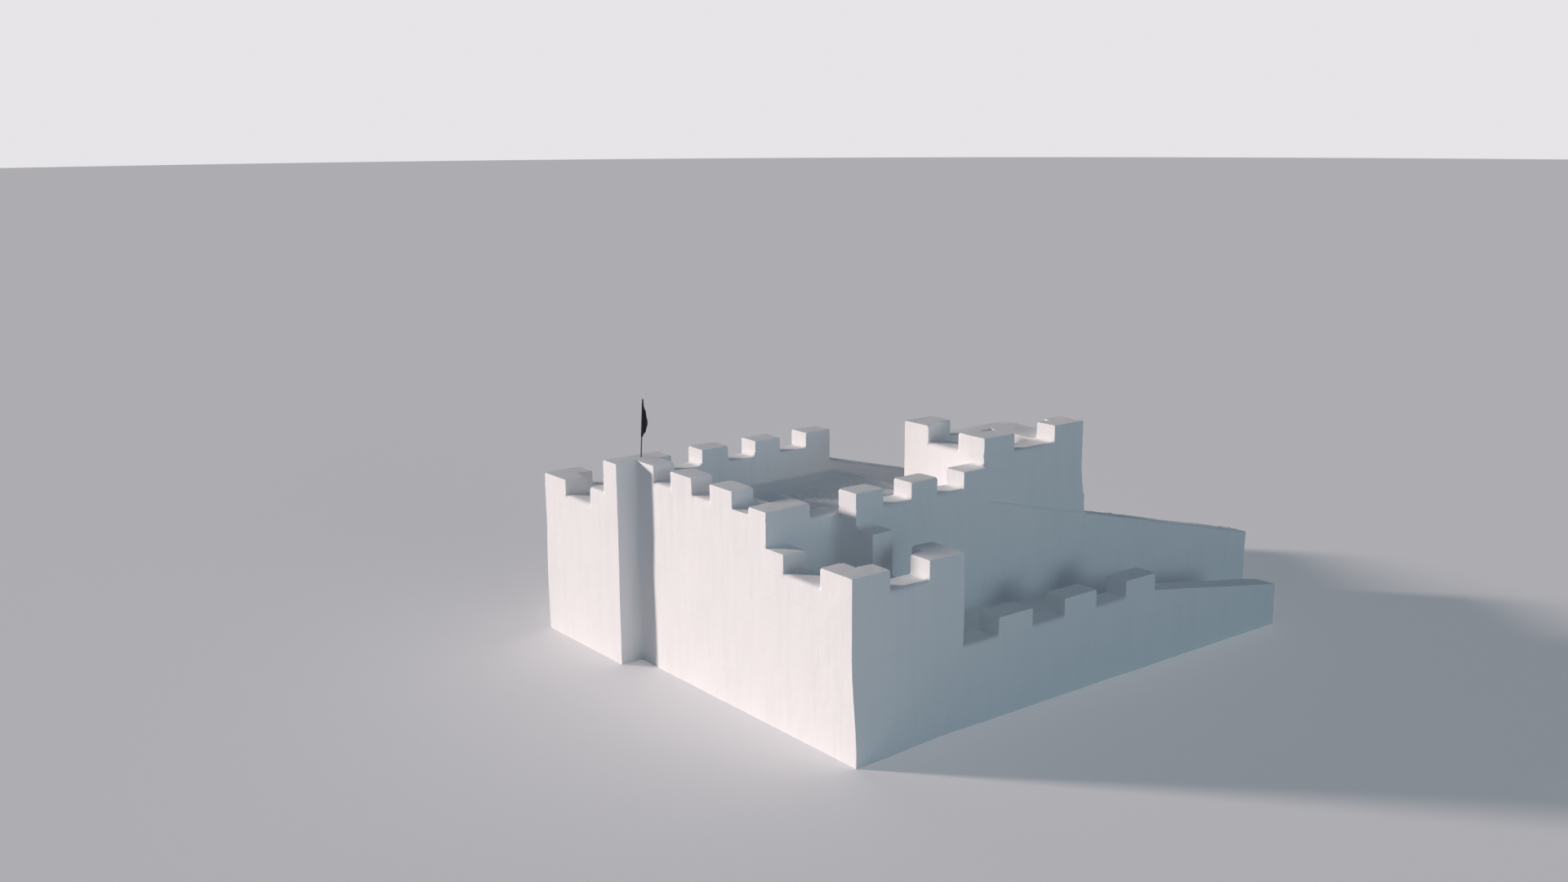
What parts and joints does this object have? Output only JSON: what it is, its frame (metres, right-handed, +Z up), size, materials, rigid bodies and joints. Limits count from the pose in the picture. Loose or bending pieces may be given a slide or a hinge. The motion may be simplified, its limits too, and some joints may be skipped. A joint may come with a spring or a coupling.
{
  "type": "snow fort",
  "caption": "Compacted-snow fort: a battlemented keep with low corner towers, a tall tower, a broad run, a walled chute and a small flag on a pole.",
  "frame": {"origin": "centre of the bounding box, on the level it stands on", "axes": "+X along the front wall towards the foot of the run, +Y from the front to the back, +Z up"},
  "size_m": [23.64, 16.22, 9.0673],
  "materials": {
    "snow": "matte compacted snow, cut smooth",
    "pole": "dull grey tube",
    "flag_cloth": "plain dark cloth"
  },
  "bodies": {
    "root": {"chute_floor": "snow", "chute_head": "snow", "east_run": "snow", "far_tower_east_wall": "snow", "far_tower_floor": "snow", "far_tower_north_wall": "snow", "far_tower_north_west_merlon": "snow", "far_tower_south_east_merlon": "snow", "far_tower_south_wall": "snow", "far_tower_south_west_merlon": "snow", "far_tower_west_wall": "snow", "flag": "flag_cloth", "flag_pole": "pole", "keep_corner_merlon": "snow", "keep_corner_pier": "snow", "keep_flag_merlon": "snow", "keep_floor": "snow", "keep_foot_pillar": "snow", "keep_north_merlon_1": "snow", "keep_north_merlon_2": "snow", "keep_north_merlon_3": "snow", "keep_north_wall": "snow", "keep_south_merlon_1": "snow", "keep_south_merlon_2": "snow", "keep_south_merlon_3": "snow", "keep_south_wall": "snow", "keep_west_merlon_1": "snow", "keep_west_merlon_2": "snow", "keep_west_wall": "snow", "left_tower_back_merlon": "snow", "left_tower_corner_merlon": "snow", "left_tower_east_wall": "snow", "left_tower_floor": "snow", "left_tower_north_wall": "snow", "left_tower_step": "snow", "left_tower_west_wall": "snow", "near_tower_chute_merlon": "snow", "near_tower_corner_merlon": "snow", "near_tower_floor": "snow", "near_tower_front_wall": "snow", "near_tower_step": "snow", "near_tower_west_wall": "snow", "outer_wall": "snow", "outer_wall_merlon_1": "snow", "outer_wall_merlon_2": "snow", "outer_wall_merlon_3": "snow", "run_north_wall": "snow", "run_south_wall": "snow"}
  },
  "joints": []
}
